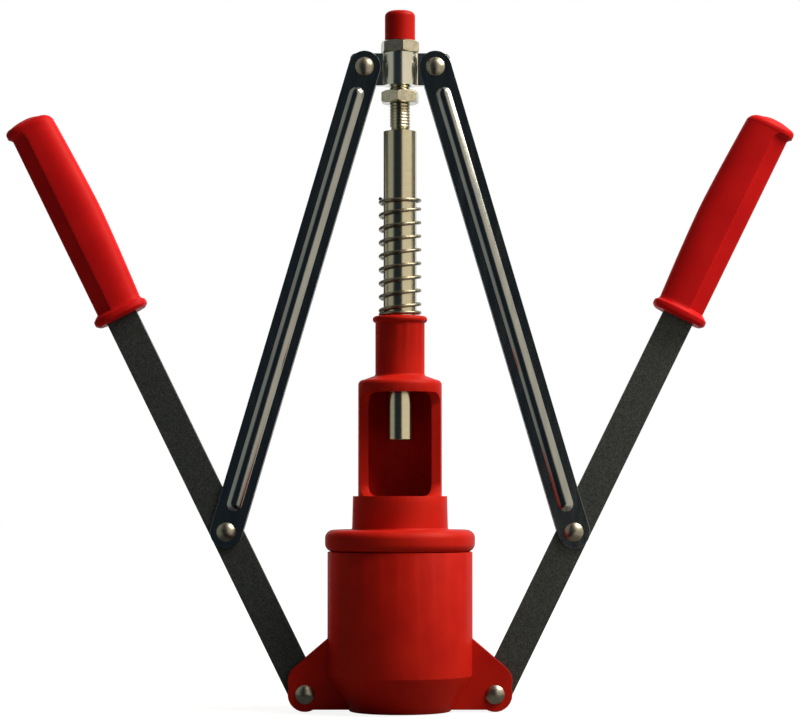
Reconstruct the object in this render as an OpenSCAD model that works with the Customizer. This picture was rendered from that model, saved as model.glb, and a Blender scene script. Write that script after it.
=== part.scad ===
// Double lever wine corker. The bell stands on the bottle's neck, a cork goes in at the
// housing's window, and the two levers draw the plunger down through the funnel.
// Origin: on the axis, in the plane of the bell's foot. +Z up, -Y towards the window.

/* [Bell] */
// Radius of the bell's straight wall
bell_r = 34.6; // [33:0.1:37]
// Height of the bell, from the foot to the joint with the housing
bell_h = 75.5; // [72:0.5:80]
// Thickness of the bell's wall
bell_wall = 3.5; // [2.8:0.1:4]
// Radius of the foot, where the lower cone ends
foot_r = 24; // [22:0.1:26]
// Height of the lower cone
cone_h = 17; // [14:0.5:20]
// Thickness of the floor between the lower cone and the socket
floor_t = 4; // [3:0.1:5]
// Radius of the socket that the bottle's neck enters
socket_r = 16; // [15:0.1:17]
// Depth of the socket, from the foot to the stop for the bottle's lip
socket_depth = 48; // [44:0.5:52]
// Width and height of the lead-in at the socket's mouth
lead_in = 3; // [1.5:0.1:3.5]
// Wall of the tube around the socket
socket_wall = 3.5; // [2.5:0.1:4]
// Thickness of the stop above the socket
stop_t = 4; // [3:0.1:5]
// Width of the ledge that carries the funnel's flange
ledge_w = 2; // [1.5:0.1:3]
// Depth of the ledge under the bell's mouth
ledge_depth = 9.5; // [8:0.5:12]
// Thickness of the ledge
ledge_h = 3; // [2:0.1:4]

/* [Ears] */
// Distance of the lever pivots from the axis
pivot_x = 45; // [44.5:0.1:48]
// Radius of the ear around its pivot, which is also the pivot's height
ear_r = 8.2; // [8.1:0.1:9.5]
// Thickness of one ear plate
ear_t = 4; // [3:0.1:5]
// Radius of the ear's rounded shoulder above the pivot
ear_shoulder_r = 9; // [8.5:0.1:10]
// Height of the shoulder's centre above the pivot
ear_shoulder_rise = 6; // [4:0.1:8]
// Slope of the ear's upper edge, from the horizontal
ear_slope = 40.5; // [35:0.5:45]
// Height of the web's lower edge above the foot
web_lift = 1; // [0.5:0.1:2]

/* [Housing] */
// Radius of the housing's flange
flange_r = 35.8; // [35.2:0.1:38]
// Thickness of the flange
flange_h = 10.5; // [9:0.1:12]
// Radius of the flange's rounded edges
flange_round = 4; // [2:0.1:4.4]
// Radius of the collar at its foot
collar_r = 22.9; // [22:0.1:24]
// How much the collar's radius narrows towards its top
collar_draft = 0.4; // [0.1:0.1:0.8]
// Height of the collar, which ends at the window's sill
collar_h = 16; // [13:0.5:18]
// Radius of the fillet at the collar's foot
collar_fillet = 1.2; // [0.4:0.1:2]
// Outer radius of the cork chamber
chamber_r = 20; // [19.5:0.1:21]
// Inner radius of the cork chamber
chamber_bore_r = 16; // [15.5:0.1:16.5]
// Height of the chamber above the collar
chamber_h = 55.5; // [54:0.5:60]
// Thickness of the chamber's roof
roof_t = 4.5; // [3.5:0.1:6]
// Radius of the chamber's upper edge
chamber_round = 2.5; // [1:0.1:3.5]
// Rise of the chamber's roof towards the neck
roof_rise = 1.6; // [0.4:0.1:2.5]
// Radius of the fillet between the roof and the neck
neck_fillet = 1.4; // [0.5:0.1:2]
// Height of the window
window_h = 49.4; // [46:0.1:49.8]
// Distance of the window's cut plane in front of the axis
window_front = 5.5; // [4:0.1:8]
// Radius of the window's inner corners
window_round = 6.5; // [3:0.1:8]
// Radius of the neck that guides the rod
neck_r = 11.8; // [11:0.1:12.4]
// Height of the neck with its lip
neck_h = 30.5; // [26:0.5:34]
// Radius of the neck's lip
lip_r = 13.1; // [12.8:0.1:14]
// Thickness of the lip
lip_h = 3.2; // [2.6:0.1:4]
// Depth of the spigot that plugs into the bell's mouth
spigot_depth = 6.5; // [5:0.1:7]
// Wall of the spigot
spigot_wall = 4; // [3:0.1:5]

/* [Funnel] */
// Radius of the funnel's exit, which squeezes the cork
exit_r = 8.5; // [8.4:0.1:9]
// Length of the parallel exit
exit_h = 12; // [8:0.5:14]
// Radius of the funnel's mouth
mouth_r = 13.5; // [13:0.1:14]
// Depth of the mouth under the window's sill
mouth_drop = 3.5; // [2:0.1:6]
// Wall of the funnel
funnel_wall = 2.4; // [1.6:0.1:2.4]

/* [Plunger] */
// Radius of the rod
rod_r = 8; // [7.6:0.1:8.2]
// Length of the rod below the stud, with its tip
rod_len = 149.2; // [145:0.1:151]
// Radius of the rod's slimmer tip
tip_r = 6.7; // [6:0.1:7.4]
// Length of the slimmer tip
tip_len = 24; // [18:0.5:28]
// Height of the cone on the rod's shoulder
shoulder_h = 1; // [0.5:0.1:2]
// Radius of the threaded stud
stud_r = 5; // [4.6:0.1:5]
// Free length of stud between the rod and the lower nut
stud_free = 12.6; // [8:0.1:16]
// Width of the nuts across their flats
nut_flats = 17; // [16.5:0.1:18]
// Thickness of one nut
nut_h = 6; // [5:0.1:7]
// Width of a nut's round face inside its chamfer, less than across the flats
nut_face = 16.2; // [15:0.1:16.4]
// Free length of stud between the lower nut and the crosshead
nut_gap = 2.6; // [1:0.1:4]
// Turn of the lower nut about the axis
lower_nut_turn = -6; // [-30:1:30]
// Turn of the upper nut about the axis
upper_nut_turn = 9; // [-30:1:30]
// Radius of the cap on the stud's end
cap_r = 7.3; // [7:0.1:8]
// Height of the cap
cap_h = 14.2; // [12:0.1:16]
// Depth of the stud inside the cap
cap_grip = 9; // [6:0.1:10]
// Radius of the cap's upper edge
cap_round = 2.6; // [1:0.1:3]

/* [Crosshead] */
// Distance of the upper link pivots from the axis
head_x = 17; // [16.2:0.1:18]
// Outer radius of the barrel
barrel_r = 8.05; // [7.6:0.1:8.4]
// Thickness of one stamped half
head_t = 2; // [1.6:0.1:2.4]
// Reach of the wings beyond the pivots
wing_reach = 7; // [6.5:0.1:8]
// Radius of the wings' corners
wing_round = 3; // [1:0.1:4]
// Height of the crosshead above the pivots
head_above = 6.7; // [5.5:0.1:8]
// Depth of the crosshead below the pivots
head_below = 8.9; // [7.5:0.1:10]
// Radius of the fillets between the barrel and the wings
head_fillet = 1.2; // [0.5:0.1:1.4]

/* [Levers and links] */
// Lean of the levers from the vertical, at rest
lever_open = 26.2; // [24:0.1:30]
// Distance from the lever's pivot to the elbow
crank_len = 85.5; // [82:0.1:90]
// Distance between the two pivots of a link
link_len = 232.5; // [230:0.1:238]
// Width of the lever's bar
bar_w = 15.4; // [14:0.1:15.6]
// Thickness of the lever's bar
bar_t = 4; // [3.2:0.1:4]
// Length of the bar, from its pivot to the end inside the grip
bar_len = 288; // [270:1:294]
// Width of the link's strips
strip_w = 15.4; // [14:0.1:16]
// Thickness of a strip
strip_t = 1.5; // [1.2:0.1:2]
// Width of the rib pressed into a strip
rib_w = 7; // [5:0.1:8]
// Height of the rib above its strip
rib_h = 1.6; // [1:0.1:2]
// Distance from a pivot to the end of the rib
rib_start = 10.5; // [9.5:0.1:14]
// Radius of the rivets' shanks
shank_r = 2.5; // [2:0.1:3]
// Radius of the rivets' heads
head_r = 4.5; // [4:0.1:5]
// Height of the rivets' heads
head_h = 2.5; // [2:0.1:3]
// Height of the straight rim under a head's dome
head_rim = 0.5; // [0.2:0.1:0.8]

/* [Grips] */
// Distance from the lever's pivot to the middle of the grip's flange
grip_from = 202; // [195:1:206]
// Distance from the lever's pivot to the crown of the grip
grip_to = 306; // [300:1:315]
// Half width of the grip on the outer side
grip_out = 11.3; // [10.5:0.1:12]
// Half width of the grip's ends on the inner side
grip_in = 12.1; // [11:0.1:13]
// Extra width of the grip's belly on the inner side
grip_belly = 1.9; // [0.5:0.1:3]
// Half thickness of the grip, front to back
grip_y = 8.4; // [7.5:0.1:9.5]
// Depth of the band cut from the outer side
band_depth = 1.4; // [0.6:0.1:2]
// Distance of the band's ridge from the bar's middle
band_edge = 2.4; // [1:0.1:4]
// Half thickness of the grip just outside the ridge
band_ridge_y = 7.7; // [7:0.1:8.2]
// Half thickness of the grip where the band's slope ends
band_low_y = 4.2; // [3.4:0.1:6]
// Height of the grip's flange
grip_flange_h = 4.7; // [4:0.1:6]
// How far the flange stands out from the grip
grip_flange_out = 1.9; // [1:0.1:2.5]
// How far the flange's edges are drawn in
grip_flange_edge = 1.6; // [0.8:0.1:1.9]
// Height of the grip's end
grip_end_h = 5.5; // [4.5:0.1:9]
// How far the end stands out beyond the shaft, on the outer side and at the faces
grip_rim = 0.6; // [0.3:0.1:1]
// How far the end stands out on the inner side
grip_rim_in = 0.2; // [0.1:0.1:0.6]
// How far the crown is drawn in at its top
crown_in = 3.6; // [2:0.1:5]
// How much further the crown is drawn in on the inner side
crown_in_inner = 2.2; // [0:0.1:3]
// Rise of the dome over the crown's edge
dome_h = 1.8; // [0.5:0.1:2.4]

/* [Spring] */
// Outer radius of the spring
spring_r = 10.3; // [10.2:0.1:11.2]
// Radius of the spring's wire
wire_r = 0.85; // [0.7:0.01:0.95]
// Length of the spring
spring_len = 57.4; // [50:0.1:62]
// Number of turns, with the closed ones
spring_turns = 10; // [8:0.5:12]
// Number of closed turns at each end
closed_turns = 1; // [0.5:0.5:1.5]

/* [Fits] */
// Radial clearance of a shaft that runs or slides in its bore
run_gap = 0.05; // [0.02:0.01:0.1]
// Clearance between pieces that are put together for good
seat_gap = 0.1; // [0.05:0.01:0.2]
// Gap between flat pieces that move past each other
side_gap = 0.25; // [0.2:0.01:0.4]
// Gap under the heads of the rivets that strips turn on
head_gap = 0.1; // [0.05:0.01:0.2]
// Clearance between the stud and the crosshead's barrel
barrel_gap = 0.3; // [0.1:0.05:0.5]
// Gap between the upper nut and the cap
cap_gap = 0.3; // [0.2:0.05:0.6]
// Gap between the closed turns of the spring
coil_gap = 0.03; // [0.02:0.01:0.06]

/* [Hidden] */
$fn = 72;

// Linkage: the pivots' heights, and the links' lean from the vertical
pivot_z = ear_r;
elbow_x = pivot_x + crank_len * sin(lever_open);
elbow_z = pivot_z + crank_len * cos(lever_open);
link_lean = asin((elbow_x - head_x) / link_len);
head_z = elbow_z + link_len * cos(link_lean);

// Bell
mouth_in_r = bell_r - bell_wall;
ledge_z = bell_h - ledge_depth;
web_in = bell_wall / 2;

// Housing
collar_z = bell_h + flange_h;
sill_z = collar_z + collar_h;
chamber_top = sill_z + chamber_h;
roof_z = chamber_top - roof_t;
lip_z = chamber_top + neck_h;
spigot_r = mouth_in_r - seat_gap;
guide_r = rod_r + run_gap;

// Funnel
spout_r = exit_r + funnel_wall;
mouth_z = sill_z - mouth_drop;
flange_top_z = bell_h - spigot_depth;

// Plunger, from the crosshead downwards and upwards
head_bottom = head_z - head_below;
head_top = head_z + head_above;
lower_nut_z = head_bottom - nut_gap - nut_h;
shoulder_z = lower_nut_z - stud_free;
tip_z = shoulder_z - rod_len;
cap_z = head_top + nut_h + cap_gap;
stud_top = cap_z + cap_grip;
thread_bore_r = stud_r + run_gap;

// Layers, front to back: bar and wings in the middle, then strips or ears, then rivet heads
wing_y = head_t;
strip_y = max(bar_t / 2, wing_y) + side_gap;
strip_out = strip_y + strip_t;
ear_y = bar_t / 2 + side_gap;
ear_out = ear_y + ear_t;
rivet_bore_r = shank_r + run_gap;

// Rib: a round bar sunk into the strip, so that it shows rib_w wide and rib_h high
rib_r = (rib_w * rib_w / 4 + rib_h * rib_h) / (2 * rib_h);

// Grip
grip_body_z = grip_from + grip_flange_h / 2;
grip_end_z = grip_to - grip_end_h;
bar_r = bar_w / 2;

far = 60; // reach of the cutting tools, past every wall they cut

// Radius of the lower cone at height z
function cone_r(z) = foot_r + (bell_r - foot_r) * z / cone_h;

// Inner radius of the funnel at height z
function funnel_r(z) = exit_r + (mouth_r - exit_r)
    * max(0, z - socket_depth - exit_h) / (mouth_z - socket_depth - exit_h);

// ---- shared shapes ----

// A 2D outline, drawn in X and Z, made a plate whose near face lies at y
module plate(y, t) translate([0, y + t, 0]) rotate([90, 0, 0]) linear_extrude(t) children();

// A bar along Y with both ends at y0 and y1
module pin_y(r, y0, y1) translate([0, y1, 0]) rotate([90, 0, 0]) cylinder(r = r, h = y1 - y0);

// The half outline of a disc with rounded edges
module disc_outline(r, z0, z1, edge) {
    translate([0, z0]) square([r - edge, z1 - z0]);
    translate([0, z0 + edge]) square([r, z1 - z0 - 2 * edge]);
    for (z = [z0 + edge, z1 - edge]) translate([r - edge, z]) circle(edge);
}

// The half outline of a rivet's head whose flat side lies at height y
module head_profile(y) {
    dome_h = head_h - head_rim;
    dome_r = (head_r * head_r + dome_h * dome_h) / (2 * dome_h);
    translate([0, y]) square([head_r, head_rim]);
    translate([0, y + head_rim]) intersection() {
        translate([0, dome_h - dome_r]) circle(dome_r);
        square([head_r, dome_h]);
    }
}

// The two heads of a rivet, each with its flat side at distance y from the middle
module rivet_heads(y) for (turn = [-90, 90])
    rotate([turn, 0, 0]) rotate_extrude() head_profile(y);

module rivet(y) {
    pin_y(shank_r, -y, y);
    rivet_heads(y);
}

// Places for a piece of the right-hand linkage, and the mirrored left-hand one
module left() mirror([1, 0, 0]) children();
module at_pivot() translate([pivot_x, 0, pivot_z]) children();
module at_elbow() translate([elbow_x, 0, elbow_z]) children();
module at_head() translate([head_x, 0, head_z]) children();
module along_lever() at_pivot() rotate([0, lever_open, 0]) children();
module along_link() at_head() rotate([0, -link_lean, 0]) children();

// ---- base ----

// Wall of the bell, its socket tube and the ledge for the funnel
module bell_shell() rotate_extrude() polygon([
    [socket_r + lead_in, 0],
    [foot_r, 0],
    [bell_r, cone_h],
    [bell_r, bell_h],
    [mouth_in_r, bell_h],
    [mouth_in_r, ledge_z],
    [mouth_in_r - ledge_w, ledge_z],
    [mouth_in_r - ledge_w, ledge_z - ledge_h],
    [mouth_in_r, ledge_z - ledge_h - ledge_w],
    [mouth_in_r, cone_h],
    [cone_r(floor_t) - bell_wall, floor_t],
    [socket_r + socket_wall, floor_t],
    [socket_r + socket_wall, socket_depth + stop_t],
    [spout_r + seat_gap, socket_depth + stop_t],
    [spout_r + seat_gap, socket_depth],
    [socket_r, socket_depth],
    [socket_r, lead_in]
]);

// Outline of the right-hand ear; its inner edge lies inside the bell's wall
module ear_outline() {
    inner_x = bell_r - web_in;
    shoulder = [pivot_x + ear_r - ear_shoulder_r, pivot_z + ear_shoulder_rise];
    touch = shoulder + ear_shoulder_r * [sin(ear_slope), cos(ear_slope)];
    polygon([
        [inner_x, touch[1] + (touch[0] - inner_x) * tan(ear_slope)],
        touch,
        shoulder,
        [pivot_x, pivot_z],
        [pivot_x, web_lift],
        [cone_r(web_lift) - web_in, web_lift],
        [inner_x, cone_h]
    ]);
    translate(shoulder) circle(ear_shoulder_r);
    translate([pivot_x, pivot_z]) circle(ear_r);
}

module ears() difference() {
    for (y = [-ear_out, ear_y]) plate(y, ear_t) ear_outline();
    at_pivot() pin_y(rivet_bore_r, -far, far);
}

module bell() color("firebrick") {
    bell_shell();
    ears();
    left() ears();
}

// What fills the corner between a wall at radius r and a floor at height z
module fillet_outline(r, z, size) difference() {
    translate([r - size, z]) square([2 * size, size]);
    translate([r + size, z + size]) circle(size);
}

module housing_outline() difference() {
    union() {
        translate([0, bell_h - spigot_depth]) square([spigot_r, spigot_depth + flange_h / 2]);
        disc_outline(flange_r, bell_h, collar_z, flange_round);
        polygon([
            [0, collar_z], [collar_r, collar_z], [collar_r - collar_draft, sill_z], [0, sill_z]
        ]);
        translate([0, sill_z - chamber_round]) square([chamber_r, chamber_h]);
        translate([0, chamber_top - 2 * chamber_round])
            square([chamber_r - chamber_round, 2 * chamber_round]);
        translate([chamber_r - chamber_round, chamber_top - chamber_round]) circle(chamber_round);
        polygon([
            [0, chamber_top - roof_t],
            [chamber_r - chamber_round, chamber_top - roof_t],
            [chamber_r - chamber_round, chamber_top],
            [neck_r + neck_fillet, chamber_top + roof_rise],
            [0, chamber_top + roof_rise]
        ]);
        fillet_outline(neck_r, chamber_top + roof_rise, neck_fillet);
        fillet_outline(collar_r - collar_draft * collar_fillet / collar_h, collar_z, collar_fillet);
        translate([0, chamber_top - roof_t]) square([neck_r, neck_h + roof_t - lip_h / 2]);
        translate([0, lip_z - lip_h]) square([lip_r - lip_h / 2, lip_h]);
        translate([lip_r - lip_h / 2, lip_z - lip_h / 2]) circle(lip_h / 2);
    }
    square([guide_r, lip_z + far]);
    square([chamber_bore_r, roof_z]);
    square([spigot_r - spigot_wall, bell_h]);
}

// Tool that opens the chamber's front, with round corners at its deep side
module window_tool() {
    top_z = sill_z + window_h;
    translate([-far, 0, 0]) rotate([90, 0, 90]) linear_extrude(2 * far) {
        translate([-far, sill_z]) square([far - window_front - window_round, window_h]);
        translate([-far, sill_z + window_round])
            square([far - window_front, window_h - 2 * window_round]);
        for (z = [sill_z + window_round, top_z - window_round])
            translate([-window_front - window_round, z]) circle(window_round);
    }
}

module upper_housing() color("firebrick") difference() {
    rotate_extrude() housing_outline();
    window_tool();
}

module compression_funnel() color("goldenrod") rotate_extrude() polygon([
    [exit_r, socket_depth],
    [spout_r, socket_depth],
    [spout_r, socket_depth + exit_h],
    [funnel_r(ledge_z) + funnel_wall, ledge_z],
    [mouth_in_r - seat_gap, ledge_z],
    [mouth_in_r - seat_gap, flange_top_z],
    [funnel_r(flange_top_z) + funnel_wall, flange_top_z],
    [mouth_r + funnel_wall, mouth_z],
    [mouth_r, mouth_z],
    [exit_r, socket_depth + exit_h]
]);

// ---- spring ----

// Height of the wire's middle after t turns: closed, then open, then closed again
function coil_z(t, lift, pitch) = wire_r
    + lift * (min(t, closed_turns) + max(0, t - spring_turns + closed_turns))
    + pitch * max(0, min(t, spring_turns - closed_turns) - closed_turns);

module return_spring() color("dimgray") {
    sides = 8;
    rings_per_turn = 18;
    rings = ceil(spring_turns * rings_per_turn);
    middle_r = spring_r - wire_r;
    lift = 2 * wire_r + coil_gap;
    pitch = (spring_len - 2 * wire_r - 2 * closed_turns * lift) / (spring_turns - 2 * closed_turns);
    points = [for (i = [0:rings], k = [0:sides - 1])
        let (t = spring_turns * i / rings, a = 360 * t, b = 360 * k / sides,
             r = middle_r + wire_r * cos(b))
        [r * cos(a), r * sin(a), coil_z(t, lift, pitch) + wire_r * sin(b)]];
    walls = [for (i = [0:rings - 1], k = [0:sides - 1], half = [0, 1])
        let (p = i * sides + k, q = i * sides + (k + 1) % sides)
        half == 0 ? [p, q, q + sides] : [p, q + sides, p + sides]];
    ends = [[for (k = [sides - 1:-1:0]) k], [for (k = [0:sides - 1]) rings * sides + k]];
    translate([0, 0, lip_z]) polyhedron(points, concat(walls, ends), convexity = 10);
}

// ---- plunger ----

module plunger_rod() color("silver") rotate_extrude() polygon([
    [0, tip_z],
    [tip_r - shoulder_h / 2, tip_z],
    [tip_r, tip_z + shoulder_h / 2],
    [tip_r, tip_z + tip_len],
    [rod_r, tip_z + tip_len + shoulder_h],
    [rod_r, shoulder_z - shoulder_h],
    [stud_r, shoulder_z],
    [stud_r, stud_top],
    [0, stud_top]
]);

module rod_cap() color("firebrick") difference() {
    translate([0, 0, cap_z]) rotate_extrude() {
        square([cap_r, cap_h - cap_round]);
        square([cap_r - cap_round, cap_h]);
        translate([cap_r - cap_round, cap_h - cap_round]) intersection() {
            circle(cap_round);
            translate([-cap_round, -cap_round]) square([2 * cap_round, 2 * cap_round]);
        }
    }
    cylinder(r = thread_bore_r, h = stud_top);
}

// A hexagon nut whose corners are chamfered at both faces
module nut(z, turn) {
    corner_r = nut_flats / sqrt(3);
    turned_r = corner_r + 1; // the chamfer's cone runs on past the corners
    face_r = nut_face / 2;
    chamfer_h = (turned_r - face_r) * tan(30);
    translate([0, 0, z]) difference() {
        intersection() {
            rotate([0, 0, turn - 90]) cylinder(r = corner_r, h = nut_h, $fn = 6);
            rotate_extrude() polygon([
                [0, 0],
                [face_r, 0],
                [turned_r, chamfer_h],
                [turned_r, nut_h - chamfer_h],
                [face_r, nut_h],
                [0, nut_h]
            ]);
        }
        translate([0, 0, -far]) cylinder(r = thread_bore_r, h = 2 * far);
    }
}

module upper_nut() color("silver") nut(head_top, upper_nut_turn);
module lower_nut() color("silver") nut(lower_nut_z, lower_nut_turn);

// Plan of one stamped half: two wings, half a barrel and the fillets between them
module head_plan() {
    wing_x = head_x + wing_reach;
    fillet_y = wing_y + head_fillet;
    fillet_x = sqrt(pow(barrel_r + head_fillet, 2) - fillet_y * fillet_y);
    difference() {
        union() {
            translate([-wing_x, -wing_y]) square([2 * wing_x, wing_y]);
            intersection() {
                circle(barrel_r);
                translate([-far, -far]) square([2 * far, far]);
            }
            difference() {
                translate([-fillet_x, -fillet_y]) square([2 * fillet_x, fillet_y]);
                for (x = [-fillet_x, fillet_x]) translate([x, -fillet_y]) circle(head_fillet);
            }
        }
        circle(stud_r + barrel_gap);
    }
}

// Front view of the crosshead, with its rounded corners
module head_outline() {
    wing_x = head_x + wing_reach;
    translate([-wing_x, head_bottom + wing_round])
        square([2 * wing_x, head_above + head_below - 2 * wing_round]);
    translate([-wing_x + wing_round, head_bottom])
        square([2 * (wing_x - wing_round), head_above + head_below]);
    for (x = [-wing_x + wing_round, wing_x - wing_round],
         z = [head_bottom + wing_round, head_top - wing_round])
        translate([x, z]) circle(wing_round);
}

module crosshead_half() difference() {
    intersection() {
        translate([0, 0, head_bottom]) linear_extrude(head_above + head_below) head_plan();
        plate(-far, far) head_outline();
    }
    at_head() pin_y(rivet_bore_r, -far, far);
    left() at_head() pin_y(rivet_bore_r, -far, far);
}

module crosshead_front() color("lightgray") crosshead_half();
module crosshead_back() color("lightgray") mirror([0, 1, 0]) crosshead_half();

// ---- links ----

// The round bar of the rib, with its middle under the strip's outer face
module rib_bar(r) translate([0, -strip_out + rib_r - rib_h, 0]) {
    top = -rib_start - rib_w / 2;
    bottom = -link_len + rib_start + rib_w / 2;
    translate([0, 0, bottom]) cylinder(r = r, h = top - bottom);
    for (z = [bottom, top]) translate([0, 0, z]) sphere(r);
}

// The front strip, hanging from its upper pivot
module link_strip() difference() {
    union() {
        plate(-strip_out, strip_t) {
            translate([-strip_w / 2, -link_len]) square([strip_w, link_len]);
            for (z = [0, -link_len]) translate([0, z]) circle(strip_w / 2);
        }
        intersection() {
            rib_bar(rib_r);
            translate([-far, -strip_y - far, -link_len]) cube([2 * far, far, link_len]);
        }
    }
    rib_bar(rib_r - strip_t);
    for (z = [0, -link_len]) translate([0, 0, z]) pin_y(rivet_bore_r, -far, far);
}

module link_front() color("dimgray") along_link() link_strip();
module link_back() mirror([0, 1, 0]) link_front();

module left_link_front() left() link_front();
module left_link_back() left() link_back();
module right_link_front() link_front();
module right_link_back() link_back();

// ---- rivets ----

module base_rivet() color("darkgray") at_pivot() rivet(ear_out);
module top_rivet() color("darkgray") at_head() rivet(strip_out + head_gap);

// The elbow rivet's heads turn with the strips, and each has a stub in its strip
module elbow_heads() color("darkgray") at_elbow() {
    rivet_heads(strip_out);
    pin_y(shank_r, -strip_out, -strip_y);
    pin_y(shank_r, strip_y, strip_out);
}

// The elbow rivet's shank stays in the bar
module elbow_shank() color("darkgray") at_elbow()
    pin_y(shank_r, -bar_t / 2 + seat_gap, bar_t / 2 - seat_gap);

module left_base_rivet() left() base_rivet();
module right_base_rivet() base_rivet();
module left_top_rivet() left() top_rivet();
module right_top_rivet() top_rivet();
module left_elbow_heads() left() elbow_heads();
module right_elbow_heads() elbow_heads();
module left_elbow_shank() left() elbow_shank();
module right_elbow_shank() elbow_shank();

// ---- levers ----

module lever_bar() color("darkslategray") along_lever() plate(-bar_t / 2, bar_t) difference() {
    union() {
        circle(bar_r);
        translate([-bar_r, 0]) square([bar_w, bar_len]);
    }
    for (z = [0, crank_len]) translate([0, z]) circle(rivet_bore_r);
}

// A thin slice across the grip at height z, in by its inner and out by its outer half width
module grip_slice(z, in, out, y) {
    slice_h = 0.1;
    squareness = 2 / 2.6; // between an ellipse and a rectangle
    points = [for (a = [0:10:350])
        [(out - in) / 2 + (out + in) / 2 * sign(cos(a)) * pow(abs(cos(a)), squareness),
         y * sign(sin(a)) * pow(abs(sin(a)), squareness)]];
    translate([0, 0, z - slice_h / 2]) linear_extrude(slice_h) polygon(points);
}

// The grip's shaft, with a belly on the inner side that has a soft corner in the middle
module grip_shaft() hull() for (s = [-1:0.25:1]) {
    middle = (grip_body_z + grip_end_z) / 2;
    grip_slice(middle + s * (grip_end_z - grip_body_z) / 2,
        grip_in + grip_belly * (1 - pow(abs(s), 1.4)), grip_out, grip_y);
}

// Tool that cuts the sloping band along the outer side, on both faces
module band_tool() {
    low_x = grip_out - band_depth;
    half = [
        [band_edge, far], [band_edge, band_ridge_y], [low_x, band_low_y],
        [low_x, -1], [far, -1], [far, far]
    ];
    for (flip = [0, 1]) mirror([0, flip, 0])
        translate([0, 0, grip_body_z]) linear_extrude(grip_end_z - grip_body_z) polygon(half);
}

// A flange around the grip's lower end, rounder at its edges
module grip_flange() hull() for (s = [-1, -0.6, 0, 0.6, 1]) {
    edge = grip_flange_out - grip_flange_edge * pow(abs(s), 3);
    grip_slice(grip_from + s * grip_flange_h / 2, grip_in + edge, grip_out + edge, grip_y + edge);
}

// The grip's end, a rim that turns into a domed crown
module grip_end() hull() {
    for (s = [0, 0.55, 0.85, 1]) {
        drawn = crown_in * pow(s, 5);
        drawn_inner = drawn + crown_in_inner * pow(s, 3);
        grip_slice(grip_end_z + s * (grip_end_h - dome_h),
            grip_in + min(grip_rim_in, grip_rim - drawn_inner),
            grip_out + grip_rim - drawn, grip_y + grip_rim - drawn);
    }
    grip_slice(grip_end_z + grip_end_h - dome_h / 3, grip_in / 2, grip_out / 2, grip_y / 2);
    grip_slice(grip_end_z + grip_end_h, grip_in / 6, grip_out / 6, grip_y / 6);
}

module grip() color("firebrick") along_lever() difference() {
    union() {
        difference() {
            grip_shaft();
            band_tool();
        }
        grip_flange();
        grip_end();
    }
    translate([-bar_r - seat_gap, -bar_t / 2 - seat_gap, 0])
        cube([bar_w + 2 * seat_gap, bar_t + 2 * seat_gap, bar_len + seat_gap]);
}

module left_lever_bar() left() lever_bar();
module right_lever_bar() lever_bar();
module left_grip() left() grip();
module right_grip() grip();

bell();
upper_housing();
compression_funnel();
return_spring();
left_base_rivet();
right_base_rivet();
plunger_rod();
rod_cap();
upper_nut();
lower_nut();
crosshead_front();
crosshead_back();
left_top_rivet();
right_top_rivet();
left_link_front();
left_link_back();
left_elbow_heads();
right_link_front();
right_link_back();
right_elbow_heads();
left_lever_bar();
left_grip();
left_elbow_shank();
right_lever_bar();
right_grip();
right_elbow_shank();
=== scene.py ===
# Double lever wine corker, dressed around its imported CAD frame
import math

import bmesh
import bpy
from mathutils import Matrix, Vector


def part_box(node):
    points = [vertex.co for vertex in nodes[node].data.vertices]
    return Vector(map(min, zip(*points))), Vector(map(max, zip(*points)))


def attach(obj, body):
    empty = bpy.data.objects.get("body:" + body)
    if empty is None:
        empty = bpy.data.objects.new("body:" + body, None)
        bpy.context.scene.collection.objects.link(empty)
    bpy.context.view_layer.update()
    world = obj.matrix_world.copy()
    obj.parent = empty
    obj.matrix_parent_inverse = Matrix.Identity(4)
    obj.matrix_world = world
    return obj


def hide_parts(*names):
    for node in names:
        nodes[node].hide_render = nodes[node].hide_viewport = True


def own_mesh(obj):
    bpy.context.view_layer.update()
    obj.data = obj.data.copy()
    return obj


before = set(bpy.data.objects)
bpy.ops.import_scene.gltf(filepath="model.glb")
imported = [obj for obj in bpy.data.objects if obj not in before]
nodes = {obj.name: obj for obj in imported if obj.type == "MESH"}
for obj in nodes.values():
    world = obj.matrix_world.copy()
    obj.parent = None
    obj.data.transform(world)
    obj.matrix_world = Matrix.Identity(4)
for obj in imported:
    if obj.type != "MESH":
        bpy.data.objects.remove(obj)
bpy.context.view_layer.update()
print("frame loaded:", len(nodes), "nodes")


def mm(value):
    return value / 1000


def srgb(code):
    # a hex colour as it reads on screen, turned to linear
    parts = [int(code[i:i + 2], 16) / 255 for i in (1, 3, 5)]
    return [p / 12.92 if p <= 0.04045 else ((p + 0.055) / 1.055) ** 2.4 for p in parts] + [1]


def newObject(name, data):
    made = bpy.data.objects.new(name, data)
    bpy.context.scene.collection.objects.link(made)
    return made


def addNode(tree, kind, settings=None, inputs=None):
    # inputs holds plain values, or sockets to link from, under the input's name or number
    made = tree.nodes.new(kind)
    for name, value in (settings or {}).items():
        setattr(made, name, value)
    for name, value in (inputs or {}).items():
        socket = made.inputs[name]
        if isinstance(value, bpy.types.NodeSocket):
            tree.links.new(value, socket)
        else:
            socket.default_value = value
    return made


def math2(tree, operation, a, b):
    return addNode(tree, "ShaderNodeMath", {"operation": operation}, {0: a, 1: b}).outputs[0]


def spread(tree, value, low, high, start=0.0, end=1.0):
    # a value from start to end, laid out from low to high
    made = addNode(tree, "ShaderNodeMapRange", inputs={
        "Value": value, "From Min": start, "From Max": end, "To Min": low, "To Max": high})
    return made.outputs[0]


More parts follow.
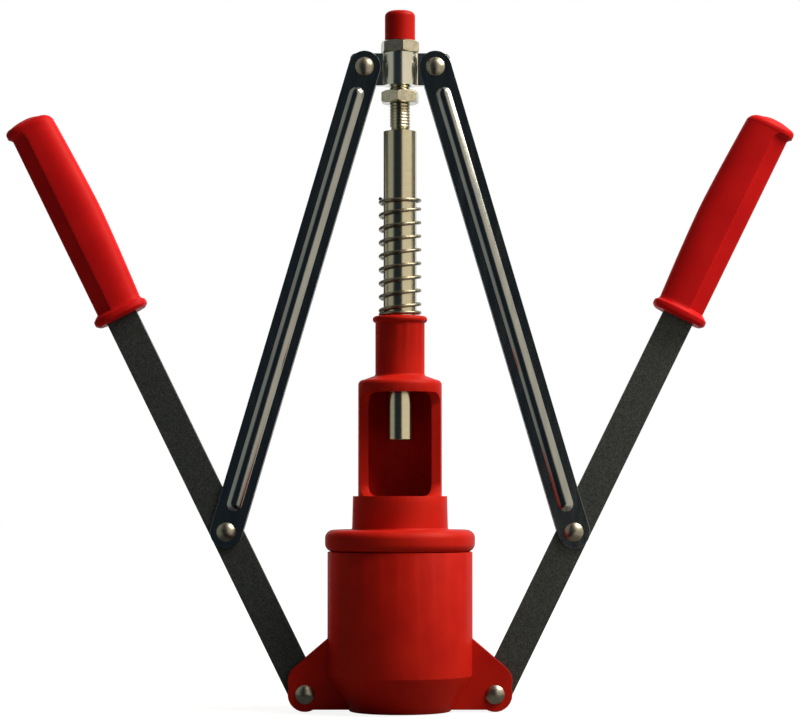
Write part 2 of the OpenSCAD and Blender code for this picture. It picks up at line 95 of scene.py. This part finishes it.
def ramp(tree, fac, stops):
    made = addNode(tree, "ShaderNodeValToRGB", inputs={"Fac": fac})
    points = made.color_ramp.elements
    for point, (place, colour) in zip([points[0], points[1]], (stops[0], stops[-1])):
        point.position, point.color = place, colour
    for place, colour in stops[1:-1]:
        points.new(place).color = colour
    return made.outputs["Color"]


def mixShader(tree, fac, first, second):
    return addNode(tree, "ShaderNodeMixShader", inputs={0: fac, 1: first, 2: second}).outputs[0]


def newMaterial(name):
    material = bpy.data.materials.new(name)
    material.use_nodes = True
    tree = material.node_tree
    tree.nodes.clear()
    shader = addNode(tree, "ShaderNodeBsdfPrincipled")
    addNode(tree, "ShaderNodeOutputMaterial", inputs={"Surface": shader.outputs[0]})
    return material, tree, shader


def noiseAt(tree, sizeMm, detail=3, stretch=(1, 1, 1)):
    # noise whose grains are about sizeMm across, on Object coordinates
    coords = addNode(tree, "ShaderNodeTexCoord").outputs["Object"]
    scaled = addNode(tree, "ShaderNodeMapping", inputs={"Vector": coords, "Scale": stretch})
    noise = addNode(tree, "ShaderNodeTexNoise", inputs={
        "Vector": scaled.outputs[0], "Scale": 1 / mm(sizeMm), "Detail": detail})
    return noise.outputs["Fac"]


def bump(tree, shader, height, strength, depthMm):
    made = addNode(tree, "ShaderNodeBump", inputs={
        "Height": height, "Strength": strength, "Distance": mm(depthMm)})
    tree.links.new(made.outputs[0], shader.inputs["Normal"])


# ---- materials ----
plastic = {
    "cloudMm": 18, "cloudEdges": (0.35, 0.65),
    "wearMm": 4, "wear": 0.05,  # how far the roughness wanders, both ways
    "peelMm": 0.9, "peelDetail": 2, "peelStrength": 0.25, "peelDepthMm": 0.05,
    "refraction": 1.5,
}
metalLook = {"detail": 4, "toneEdges": (0.3, 0.7), "wear": 0.06}


def mouldedPlastic(name, dark, light, roughness, gloss=0.08):
    # moulded ABS: one even red, slightly cloudy, with the faint orange peel of a polished mould
    material, tree, shader = newMaterial(name)
    low, high = plastic["cloudEdges"]
    cloud = noiseAt(tree, plastic["cloudMm"])
    colour = ramp(tree, cloud, [(low, srgb(dark)), (high, srgb(light))])
    tree.links.new(colour, shader.inputs["Base Color"])
    wear = noiseAt(tree, plastic["wearMm"])
    tree.links.new(spread(tree, wear, roughness - plastic["wear"], roughness + plastic["wear"]),
                   shader.inputs["Roughness"])
    peel = noiseAt(tree, plastic["peelMm"], plastic["peelDetail"])
    bump(tree, shader, peel, plastic["peelStrength"], plastic["peelDepthMm"])
    shader.inputs["IOR"].default_value = plastic["refraction"]
    shader.inputs["Specular IOR Level"].default_value = gloss
    return material


def metal(name, dark, light, roughness, grainMm, stretch, depthMm, strength, metallic=1.0):
    # a metal whose tone and gloss follow the marks of how it was worked
    material, tree, shader = newMaterial(name)
    low, high = metalLook["toneEdges"]
    grain = noiseAt(tree, grainMm, metalLook["detail"], stretch)
    colour = ramp(tree, grain, [(low, srgb(dark)), (high, srgb(light))])
    tree.links.new(colour, shader.inputs["Base Color"])
    wear = metalLook["wear"]
    tree.links.new(spread(tree, grain, roughness - wear, roughness + wear),
                   shader.inputs["Roughness"])
    bump(tree, shader, grain, strength, depthMm)
    shader.inputs["Metallic"].default_value = metallic
    return material


# ABS, dyed through: a deep, even red with a satin face
redPlastic = mouldedPlastic("mouldedRedAbs", "#ba1c14", "#c62216", roughness=0.5)
gripPlastic = mouldedPlastic("mouldedRedGrip", "#cb171b", "#d51b1d", roughness=0.46, gloss=0.06)
capPlastic = mouldedPlastic("mouldedRedCap", "#ad1512", "#ba1912", roughness=0.4)
# zinc-plated bar, turned: fine rings around the axis, drawn faint
turnedSteel = metal("turnedZincSteel", "#bbb8a2", "#cdcab4", roughness=0.2, grainMm=0.6,
                    stretch=(0.15, 0.15, 3), depthMm=0.004, strength=0.08)
# bright zinc on hexagon stock
nutSteel = metal("zincPlatedNut", "#aba898", "#c3c0b0", roughness=0.24, grainMm=2.5,
                 stretch=(1, 1, 1), depthMm=0.01, strength=0.1)
# nickel-plated rivet heads, slightly hammered
rivetNickel = metal("nickelRivet", "#85837a", "#a09e93", roughness=0.34, grainMm=1.6,
                    stretch=(1, 1, 1), depthMm=0.03, strength=0.2)
# polished chrome on the stamping
polishedChrome = metal("polishedChrome", "#c8cac2", "#d6d8d0", roughness=0.18, grainMm=6,
                       stretch=(1, 1, 0.2), depthMm=0.001, strength=0.02)
# plating polished along the strip: dark where it mirrors the dim room
darkPlating = metal("darkPolishedPlating", "#8f9597", "#9ba09f", roughness=0.18, grainMm=3,
                    stretch=(1, 1, 0.15), depthMm=0.003, strength=0.02)
# hot-rolled bar with a dark finish: fine grains of 0.3 mm, drawn at 0.6 mm so that they show
darkSteel = metal("grainedDarkSteel", "#2b3335", "#5b6264", roughness=0.46, grainMm=0.6,
                  stretch=(1, 1, 1), depthMm=0.03, strength=0.3, metallic=0.6)
# oiled spring wire
springWire = metal("oiledSpringWire", "#736f63", "#9c9585", roughness=0.34, grainMm=1.5,
                   stretch=(1, 1, 1), depthMm=0.01, strength=0.1)
# turned brass
turnedBrass = metal("turnedBrass", "#a8823a", "#c8a45a", roughness=0.25, grainMm=1.0,
                    stretch=(0.2, 0.2, 3), depthMm=0.005, strength=0.1)
print("materials made")

finishes = {
    "bell": redPlastic, "upper_housing": redPlastic, "rod_cap": capPlastic,
    "left_grip": gripPlastic, "right_grip": gripPlastic,
    "compression_funnel": turnedBrass, "return_spring": springWire,
    "plunger_rod": turnedSteel, "upper_nut": nutSteel, "lower_nut": nutSteel,
    "crosshead_front": polishedChrome, "crosshead_back": polishedChrome,
    "left_base_rivet": rivetNickel, "right_base_rivet": rivetNickel,
    "left_top_rivet": rivetNickel, "right_top_rivet": rivetNickel,
}
# how far the sharp edges of the moulded, stamped and cut nodes are rounded
edgeRounds = {
    "bell": mm(0.35), "upper_housing": mm(0.35), "upper_nut": mm(0.15), "lower_nut": mm(0.15),
}
for side in ("left", "right"):
    for face in ("front", "back"):
        finishes[f"{side}_link_{face}"] = darkPlating
        edgeRounds[f"{side}_link_{face}"] = mm(0.3)
    finishes[f"{side}_elbow_heads"] = finishes[f"{side}_elbow_shank"] = rivetNickel
    finishes[f"{side}_lever_bar"] = darkSteel
    edgeRounds[f"{side}_lever_bar"] = mm(0.3)

for name, material in finishes.items():
    mesh = nodes[name].data
    mesh.materials.clear()
    mesh.materials.append(material)

edging = {
    "weld": mm(0.004),
    "flat": math.radians(0.05),  # faces that turn by less become one face
    "sharp": math.radians(28),  # edges that turn by more are rounded
    "segments": 2,
}
for name, width in edgeRounds.items():
    weld = nodes[name].modifiers.new("weld", "WELD")
    weld.merge_threshold = edging["weld"]
    # flat faces become whole faces again, so that the rounding runs clean along their edges
    joined = nodes[name].modifiers.new("joined", "DECIMATE")
    joined.decimate_type = "DISSOLVE"
    joined.angle_limit = edging["flat"]
    rounding = nodes[name].modifiers.new("rounding", "BEVEL")
    rounding.width = width
    rounding.segments = edging["segments"]
    rounding.limit_method = "ANGLE"
    rounding.angle_limit = edging["sharp"]
    rounding.harden_normals = True
print("edges rounded:", len(edgeRounds), "nodes")


def nodeTree(name, sizes):
    # a Geometry Nodes tree with one named input per size
    tree = bpy.data.node_groups.new(name, "GeometryNodeTree")
    for size in sizes:
        tree.interface.new_socket(size, in_out="INPUT", socket_type="NodeSocketFloat")
    tree.interface.new_socket("Geometry", in_out="OUTPUT", socket_type="NodeSocketGeometry")
    return tree, addNode(tree, "NodeGroupInput").outputs


def closeTree(tree, geometry, material):
    real = addNode(tree, "GeometryNodeRealizeInstances", inputs={"Geometry": geometry})
    painted = addNode(tree, "GeometryNodeSetMaterial", inputs={
        "Geometry": real.outputs[0], "Material": material})
    addNode(tree, "NodeGroupOutput", inputs={"Geometry": painted.outputs[0]})


def runTree(tree, sizes, name, material):
    # runs the tree once and keeps what it makes as a plain mesh object
    maker = newObject(name + "Maker", bpy.data.meshes.new(name + "Maker"))
    modifier = maker.modifiers.new("nodes", "NODES")
    modifier.node_group = tree
    for item in tree.interface.items_tree:
        if item.in_out == "INPUT":
            modifier[item.identifier] = sizes[item.name]
    graph = bpy.context.evaluated_depsgraph_get()
    mesh = bpy.data.meshes.new_from_object(maker.evaluated_get(graph))
    mesh.name = name
    bpy.data.objects.remove(maker)
    mesh.materials.clear()
    mesh.materials.append(material)
    return newObject(name, mesh)


def meshPiece(name, made, material):
    # a bmesh turned into an object
    mesh = bpy.data.meshes.new(name)
    made.to_mesh(mesh)
    made.free()
    mesh.materials.append(material)
    return newObject(name, mesh)


def smoothByAngle(piece, degrees=30):
    for polygon in piece.data.polygons:
        polygon.use_smooth = True
    piece.data.set_sharp_from_angle(angle=math.radians(degrees))


# ---- spring ----
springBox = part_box("return_spring")
spring = {
    "radius": mm(9.45),  # to the wire's middle
    "wire": mm(0.85),
    "turns": 10.0,
    "closed": 1.0,  # closed turns at each end
    "coilGap": mm(0.03),
    "foot": springBox[0].z,
    "length": springBox[1].z - springBox[0].z,
    "pressedShare": 0.366,  # of its length, when the lower nut is fully down
    "pointsPerTurn": 64, "wirePoints": 16,
}


def springTree():
    tree, size = nodeTree(
        "springTree", ["radius", "wire", "turns", "closed", "coilGap", "foot", "length"])
    line = addNode(tree, "GeometryNodeCurveSpiral", inputs={
        "Resolution": spring["pointsPerTurn"], "Rotations": size["turns"],
        "Start Radius": size["radius"], "End Radius": size["radius"], "Height": 0.0})
    along = addNode(tree, "GeometryNodeSplineParameter").outputs["Factor"]
    turn = math2(tree, "MULTIPLY", along, size["turns"])
    closedTop = math2(tree, "SUBTRACT", size["turns"], size["closed"])
    # closed turns climb by one wire and a gap, open turns share the rest of the length
    diameter = math2(tree, "MULTIPLY", size["wire"], 2.0)
    lift = math2(tree, "ADD", diameter, size["coilGap"])
    openTurns = math2(tree, "SUBTRACT", closedTop, size["closed"])
    closedLength = math2(tree, "MULTIPLY", math2(tree, "MULTIPLY", lift, size["closed"]), 2.0)
    openLength = math2(tree, "SUBTRACT", size["length"], diameter)
    openLength = math2(tree, "SUBTRACT", openLength, closedLength)
    pitch = math2(tree, "DIVIDE", openLength, openTurns)
    closedPart = math2(tree, "ADD", math2(tree, "MINIMUM", turn, size["closed"]),
                       math2(tree, "MAXIMUM", math2(tree, "SUBTRACT", turn, closedTop), 0.0))
    openPart = math2(tree, "MAXIMUM", math2(
        tree, "SUBTRACT", math2(tree, "MINIMUM", turn, closedTop), size["closed"]), 0.0)
    rise = math2(tree, "ADD", math2(tree, "MULTIPLY", closedPart, lift),
                 math2(tree, "MULTIPLY", openPart, pitch))
    rise = math2(tree, "ADD", rise, math2(tree, "ADD", size["foot"], size["wire"]))
    place = addNode(tree, "ShaderNodeSeparateXYZ", inputs={
        "Vector": addNode(tree, "GeometryNodeInputPosition").outputs[0]})
    # wound so that the strands in front rise to the right, with both ends on the left
    turned = math2(tree, "MULTIPLY", place.outputs["X"], -1.0)
    spot = addNode(tree, "ShaderNodeCombineXYZ", inputs={
        "X": turned, "Y": place.outputs["Y"], "Z": rise})
    coil = addNode(tree, "GeometryNodeSetPosition", inputs={
        "Geometry": line.outputs[0], "Position": spot.outputs[0]})
    ring = addNode(tree, "GeometryNodeCurvePrimitiveCircle", inputs={
        "Resolution": spring["wirePoints"], "Radius": size["wire"]})
    wire = addNode(tree, "GeometryNodeCurveToMesh", inputs={
        "Curve": coil.outputs[0], "Profile Curve": ring.outputs[0], "Fill Caps": True})
    smooth = addNode(tree, "GeometryNodeSetShadeSmooth", inputs={"Geometry": wire.outputs[0]})
    closeTree(tree, smooth.outputs[0], springWire)
    return tree


coilPiece = runTree(springTree(), spring, "springCoil", springWire)
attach(coilPiece, "base")
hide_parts("return_spring")
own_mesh(coilPiece)
print("spring made:", len(coilPiece.data.polygons), "faces")

# ---- rod with its threaded stud ----
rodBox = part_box("plunger_rod")
rod = {
    "foot": rodBox[0].z, "top": rodBox[1].z,
    "radius": mm(8), "length": mm(149.2),
    "tipRadius": mm(6.7), "tipLength": mm(24), "edge": mm(0.5),
    "coneHeight": mm(1),
    "studRadius": mm(5), "studChamfer": mm(0.6),
    "plainEnd": mm(1.2),  # of the stud, below and above its thread
    "filletOut": mm(0.5), "filletHeight": mm(0.4),
    "segments": 96,
}
shoulder = rod["foot"] + rod["length"]
thread = {
    "pitch": mm(1.5),
    "depth": mm(0.74),  # from root to crest
    "overlap": mm(0.04),  # of the ridge and the core
    "crest": rod["studRadius"],
    "foot": shoulder + rod["plainEnd"],
    "pointsPerTurn": 32, "ridgePoints": 8,
}
thread["turns"] = (rod["top"] - rod["plainEnd"] - thread["foot"]) / thread["pitch"]


def turnedMesh(name, profile, segments, material):
    # profile: (radius, z) points from the lower end to the upper, the first and last on the axis
    made = bmesh.new()
    rings = []
    for radius, z in profile:
        if radius == 0:
            rings.append([made.verts.new((0, 0, z))])
        else:
            rings.append([made.verts.new((radius * math.cos(a), radius * math.sin(a), z))
                          for a in (math.tau * i / segments for i in range(segments))])
    for lower, upper in zip(rings, rings[1:]):
        for i in range(segments):
            k = (i + 1) % segments
            if len(lower) == 1:
                made.faces.new((lower[0], upper[k], upper[i]))
            elif len(upper) == 1:
                made.faces.new((lower[i], lower[k], upper[0]))
            else:
                made.faces.new((lower[i], lower[k], upper[k], upper[i]))
    return meshPiece(name, made, material)


def threadTree():
    tree, size = nodeTree("threadTree", ["pitch", "depth", "crest", "foot", "turns"])
    middle = math2(tree, "SUBTRACT", size["crest"], size["depth"])
    height = math2(tree, "MULTIPLY", size["pitch"], size["turns"])
    line = addNode(tree, "GeometryNodeCurveSpiral", inputs={
        "Resolution": thread["pointsPerTurn"], "Rotations": size["turns"],
        "Start Radius": middle, "End Radius": middle, "Height": height})
    upright = addNode(tree, "GeometryNodeSetCurveNormal", {"mode": "Z_UP"}, {
        "Curve": line.outputs[0]})
    ridge = addNode(tree, "GeometryNodeCurvePrimitiveCircle", inputs={
        "Resolution": thread["ridgePoints"], "Radius": size["depth"]})
    swept = addNode(tree, "GeometryNodeCurveToMesh", inputs={
        "Curve": upright.outputs[0], "Profile Curve": ridge.outputs[0], "Fill Caps": True})
    lift = addNode(tree, "ShaderNodeCombineXYZ", inputs={"Z": size["foot"]})
    placed = addNode(tree, "GeometryNodeTransform", inputs={
        "Geometry": swept.outputs[0], "Translation": lift.outputs[0]})
    closeTree(tree, placed.outputs[0], turnedSteel)
    return tree


core = thread["crest"] - thread["depth"] + thread["overlap"]
rodProfile = [
    (0, rod["foot"]),
    (rod["tipRadius"] - rod["edge"], rod["foot"]),
    (rod["tipRadius"], rod["foot"] + rod["edge"]),
    (rod["tipRadius"], rod["foot"] + rod["tipLength"]),
    (rod["radius"], rod["foot"] + rod["tipLength"] + rod["coneHeight"]),
    (rod["radius"], shoulder - rod["coneHeight"]),
    (core + rod["filletOut"], shoulder),
    (core, shoulder + rod["filletHeight"]),
    (core, rod["top"] - rod["studChamfer"]),
    (core - rod["studChamfer"], rod["top"]),
    (0, rod["top"]),
]
rodPiece = turnedMesh("plungerRod", rodProfile, rod["segments"], turnedSteel)
threadPiece = runTree(threadTree(), thread, "studThread", turnedSteel)
for piece in (rodPiece, threadPiece):
    smoothByAngle(piece)
    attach(piece, "plunger")
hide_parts("plunger_rod")
print("rod and thread made:", len(threadPiece.data.polygons), "faces on the thread")

# ---- grips ----
grip = {
    "lean": 26.2, "pivot": (mm(45), 0, mm(8.2)),
    # from here on in mm, along the bar from the pivot and across it
    "flangeMiddle": 202.0, "crown": 306.0,
    "flangeHeight": 4.7, "flangeOut": 1.9, "flangeEdge": 1.6, "flangeFillet": 1.2,
    "outer": 11.3, "inner": 12.1, "faces": 8.4,
    "belly": 1.9, "bellyPower": 0.7, "bellyCorner": 0.003,  # a soft corner in the middle
    "endHeight": 5.5, "dome": 1.8,
    "rim": 0.45, "rimInner": 0.2, "rimFaces": 0.15, "rimRun": 0.5,
    "roundOuter": 2.2, "roundInner": 5.0, "roundFaces": 3.0,
    # the sunk band along the outer side slopes from the ridge to the low edge
    "ridge": 2.4, "ridgeHalf": 7.5, "low": 9.9, "lowHalf": 3.6,
    "edgeRound": 1.6, "edgeDrop": 0.6, "step": 0.8, "stepRun": 0.55,
    "bandFoot": 0.1, "bandStart": 0.8, "bandEnd": 2.0, "bandTurn": 4.0,
    "squareness": 2 / 2.6,  # between an ellipse and a rectangle
    # how finely it is drawn
    "innerPoints": 110, "outerPoints": 90, "along": 90, "endRings": 14,
    "domeRings": (0.93, 0.82, 0.66, 0.45, 0.22), "lastGap": 0.02, "hair": 0.001,
}


def easeStep(value, low, high):
    share = min(1.0, max(0.0, (value - low) / (high - low)))
    return share * share * (3 - 2 * share)


def roundedIn(z, top, radius):
    # how far a corner of that radius is drawn in at height z, below its top
    turn = min(1.0, max(0.0, z - (top - radius)) / radius)
    return radius * (1 - math.sqrt(1 - turn * turn))


def bandPoint(x, y, ridge):
    # the same point once the sunk, sloping band is cut along the outer side
    slope = (grip["ridgeHalf"] - grip["lowHalf"]) / (grip["low"] - grip["ridge"])
    x = min(x, grip["low"])
    roof = grip["ridgeHalf"] - slope * (x - grip["ridge"])
    roof -= grip["step"] * (min(1.0, (x - ridge) / grip["stepRun"]) - 1)
    past = max(0.0, x - (grip["low"] - grip["edgeRound"])) / grip["edgeRound"]
    roof -= grip["edgeRound"] * grip["edgeDrop"] * (1 - math.sqrt(max(0.0, 1 - past * past)))
    return x, math.copysign(min(abs(y), roof), y)


def gripRing(z):
    # the points around the grip at z along the bar, in mm across it
    bodyFoot = grip["flangeMiddle"] + grip["flangeHeight"] / 2
    bodyTop = grip["crown"] - grip["endHeight"]
    s = max(-1.0, min(1.0, (2 * z - bodyFoot - bodyTop) / (bodyTop - bodyFoot)))
    belly = grip["belly"] * (1 - (s * s + grip["bellyCorner"]) ** grip["bellyPower"])
    inner, outer, deep = grip["inner"] + max(0.0, belly), grip["outer"], grip["faces"]
    flangeAt = abs(z - grip["flangeMiddle"]) / (grip["flangeHeight"] / 2)
    extra = 0.0
    if flangeAt <= 1:
        extra = grip["flangeOut"] - grip["flangeEdge"] * flangeAt ** 3
    elif z > grip["flangeMiddle"]:
        gone = (z - bodyFoot) / grip["flangeFillet"]
        extra = (grip["flangeOut"] - grip["flangeEdge"]) * max(0.0, 1 - gone) ** 2
    inner, outer, deep = inner + extra, outer + extra, deep + extra
    onRim = easeStep(z, bodyTop - grip["rimRun"], bodyTop)
    shoulder = grip["crown"] - grip["dome"]
    inner += onRim * grip["rimInner"] - roundedIn(z, shoulder, grip["roundInner"])
    outer += onRim * grip["rim"] - roundedIn(z, shoulder, grip["roundOuter"])
    deep += onRim * grip["rimFaces"] - roundedIn(z, shoulder, grip["roundFaces"])
    bandFoot = bodyFoot + grip["bandFoot"]
    band = easeStep(z, bandFoot, bandFoot + grip["bandStart"]) * (
        1 - easeStep(z, bodyTop - grip["bandEnd"], bodyTop))
    middle, half = (outer - inner) / 2, (outer + inner) / 2
    # the ridge turns outwards below the crown, and a point lies on it where the outline meets it
    turned = min(1.0, max(0.0, z - bodyTop + grip["bandTurn"]) / grip["bandTurn"])
    ridge = grip["ridge"] + grip["bandTurn"] * (1 - math.sqrt(1 - turned * turned))
    ridgeAt = math.acos(((ridge - middle) / half) ** (1 / grip["squareness"]))
    around, across = grip["innerPoints"], grip["outerPoints"]
    angles = [(ridgeAt + (math.tau - 2 * ridgeAt) * i / around, False) for i in range(around + 1)]
    angles += [(-ridgeAt + 2 * ridgeAt * (i + 0.5) / across, True) for i in range(across)]
    points = []
    for a, onBand in angles:
        c, d = math.cos(a), math.sin(a)
        x = middle + half * math.copysign(abs(c) ** grip["squareness"], c)
        y = deep * math.copysign(abs(d) ** grip["squareness"], d)
        if onBand:
            cutX, cutY = bandPoint(x, y, ridge)
            x, y = x + band * (cutX - x), y + band * (cutY - y)
        points.append((x, y))
    return points


def gripPiece(side):
    sign = -1 if side == "left" else 1
    place = Matrix.Translation((sign * grip["pivot"][0], 0, grip["pivot"][2])) @ Matrix.Rotation(
        sign * math.radians(grip["lean"]), 4, "Y")
    foot = grip["flangeMiddle"] - grip["flangeHeight"] / 2
    shoulder = grip["crown"] - grip["dome"]
    run = shoulder - grip["lastGap"] - foot
    stations = [foot + run * i / grip["along"] for i in range(grip["along"] + 1)]
    # closer rings where the end turns over
    for i in range(1, grip["endRings"] + 1):
        share = math.sin(math.pi / 2 * i / grip["endRings"])
        stations.append(shoulder - grip["endHeight"] + grip["endHeight"] * share)
    top = shoulder - grip["hair"]
    rings = [(z, gripRing(min(z, top))) for z in sorted(set(stations))]
    topZ, topRing = rings[-1]
    for shrink in grip["domeRings"]:
        drawnIn = [(x * shrink, y * shrink) for x, y in topRing]
        rings.append((topZ + grip["dome"] * (1 - shrink * shrink), drawnIn))
    made = bmesh.new()
    loops = []
    for z, ring in rings:
        loops.append([made.verts.new(place @ Vector((sign * mm(x), mm(y), mm(z))))
                      for x, y in ring])
    count = len(rings[0][1])
    for lower, upper in zip(loops, loops[1:]):
        for i in range(count):
            k = (i + 1) % count
            made.faces.new((lower[i], lower[k], upper[k], upper[i]))
    for loop, z in ((loops[0], foot), (loops[-1], grip["crown"])):
        middle = made.verts.new(place @ Vector((0, 0, mm(z))))
        for i in range(count):
            made.faces.new((loop[i], loop[(i + 1) % count], middle))
    bmesh.ops.recalc_face_normals(made, faces=made.faces)
    piece = meshPiece(side + "Grip", made, gripPlastic)
    smoothByAngle(piece)
    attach(piece, side + "_lever")
    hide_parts(side + "_grip")


for side in ("left", "right"):
    gripPiece(side)
print("grips made")

# ---- camera and lamps ----
view = {
    "distance": 1.243,
    "height": 0.105,
    "pitch": 2.88,  # degrees upwards
    "focal": 117.0,
    "sensor": 36.0,
}
cameraData = bpy.data.cameras.new("camera")
cameraData.lens = view["focal"]
cameraData.sensor_width = view["sensor"]
camera = newObject("camera", cameraData)
camera.location = (0, -view["distance"], view["height"])
camera.rotation_euler = (math.radians(90 + view["pitch"]), 0, 0)
bpy.context.scene.camera = camera

lamps = {"distance": 1.5, "aim": Vector((0, 0, 0.16))}


def softbox(name, azimuth, elevation, size, power, colour, mirrored=True):
    # a lit rectangle that faces the object: azimuth in degrees to the right of the camera
    data = bpy.data.lights.new(name, "AREA")
    data.shape = "RECTANGLE"
    data.size, data.size_y = size
    data.energy = power
    data.color = srgb(colour)[:3]
    turn, rise = math.radians(azimuth), math.radians(elevation)
    away = Vector((
        math.sin(turn) * math.cos(rise), -math.cos(turn) * math.cos(rise), math.sin(rise)))
    lamp = newObject(name, data)
    lamp.location = lamps["aim"] + away * lamps["distance"]
    lamp.rotation_euler = away.to_track_quat("Z", "Y").to_euler()
    lamp.visible_glossy = mirrored


# the key is large, high and far round to the right, where no upright metal face mirrors it
softbox("keyRight", azimuth=74, elevation=48, size=(1.0, 0.9), power=38, colour="#fff1dc")
# a weak lamp behind on the left draws the thin light rim down the left edges of the plastic
softbox("rimLeft", azimuth=-142, elevation=8, size=(0.4, 0.9), power=9, colour="#ffe0cc",
        mirrored=False)

# ---- room ----
studio = {
    "front": "#262f36",  # the dim room behind the camera
    "left": "#b0b0a4",  # a pale wall on the left
    "right": "#fff1da",  # a wide window on the right
    "back": "#ffffff",
    "diffuse": 0.29,  # share of the room's light that reaches matt surfaces
}
# the walls by the compass, in degrees to the right of the front
walls = [
    (-180, "back"), (-156, "back"), (-150, "front"), (-128, "front"), (-122, "left"),
    (-52, "left"), (-42, "front"), (12, "front"), (18, "right"), (104, "right"),
    (108, "front"), (124, "front"), (130, "back"), (180, "back"),
]


def roomColour(tree, toward):
    # the colour of the wall that lies that way
    heading = addNode(tree, "ShaderNodeSeparateXYZ", inputs={"Vector": toward})
    ahead = math2(tree, "MULTIPLY", heading.outputs["Y"], -1.0)
    compass = math2(tree, "ARCTAN2", heading.outputs["X"], ahead)
    facing = spread(tree, compass, 0.0, 1.0, -math.pi, math.pi)
    return ramp(tree, facing, [((turn + 180) / 360, srgb(studio[wall])) for turn, wall in walls])


# metal mirrors the room; the camera sees plain white
world = bpy.data.worlds.new("studio")
bpy.context.scene.world = world
world.use_nodes = True
worldNodes = world.node_tree
worldNodes.nodes.clear()
room = roomColour(worldNodes, addNode(worldNodes, "ShaderNodeTexCoord").outputs["Generated"])
rays = addNode(worldNodes, "ShaderNodeLightPath").outputs
mirrors = math2(worldNodes, "MAXIMUM", rays["Is Glossy Ray"], rays["Is Transmission Ray"])
strength = spread(worldNodes, mirrors, studio["diffuse"], 1.0)
roomLight = addNode(worldNodes, "ShaderNodeBackground", inputs={
    "Color": room, "Strength": strength})
backdrop = addNode(worldNodes, "ShaderNodeBackground", inputs={
    "Color": (1, 1, 1, 1), "Strength": 1.0})
seen = mixShader(worldNodes, rays["Is Camera Ray"], roomLight.outputs[0], backdrop.outputs[0])
addNode(worldNodes, "ShaderNodeOutputWorld", inputs={"Surface": seen})

# ---- floor ----
ground = {
    "half": 6,  # of its side
    "drop": mm(0.3),
    "colour": "#767674", "roughness": 0.9,
    # least and full strength, and how far from the middle each is reached; the weaker strength
    # near the middle is painted shade around the object
    "glowWithPaintedShade": (0.88, 1.0, 0.1, 0.7),
    # the room's colours glowing on the floor for mirror rays, a painted reflection
    "mirrored": (0.25, 1.0, 0.15, 0.42),
}
half = ground["half"]
floorMesh = bpy.data.meshes.new("floor")
floorMesh.from_pydata([(-half, -half, 0), (half, -half, 0), (half, half, 0), (-half, half, 0)],
                      [], [(0, 1, 2, 3)])
floor = newObject("floor", floorMesh)
floorMaterial, floorNodes, floorShader = newMaterial("paleFloor")
floorShader.inputs["Base Color"].default_value = srgb(ground["colour"])
floorShader.inputs["Roughness"].default_value = ground["roughness"]
floorShader.inputs["Emission Color"].default_value = (1, 1, 1, 1)
rays = addNode(floorNodes, "ShaderNodeLightPath").outputs
coords = addNode(floorNodes, "ShaderNodeTexCoord").outputs["Object"]
distance = addNode(floorNodes, "ShaderNodeVectorMath", {"operation": "LENGTH"}, {
    "Vector": coords}).outputs["Value"]
# a white sweep: it glows for the camera, a little less near the object, where the shadow shows: a
# painted shade that deepens the real shadow there
glowWithPaintedShade = spread(floorNodes, distance, *ground["glowWithPaintedShade"])
floorNodes.links.new(math2(floorNodes, "MULTIPLY", rays["Is Camera Ray"], glowWithPaintedShade),
                     floorShader.inputs["Emission Strength"])
# for mirror rays the floor glows with the room's colours, a painted reflection of the room
# running on across the floor, dimmer close to the object as painted shade
paintedRoomReflection = addNode(floorNodes, "ShaderNodeEmission", inputs={
    "Color": roomColour(floorNodes, coords),
    "Strength": spread(floorNodes, distance, *ground["mirrored"])})
surface = mixShader(floorNodes, rays["Is Glossy Ray"], floorShader.outputs[0],
                    paintedRoomReflection.outputs[0])
floorNodes.links.new(surface, floorNodes.get_output_node("ALL").inputs["Surface"])
floorMesh.materials.append(floorMaterial)
floor.location.z = -ground["drop"]
print("camera, light and floor made")

bpy.context.scene.view_settings.view_transform = "Standard"
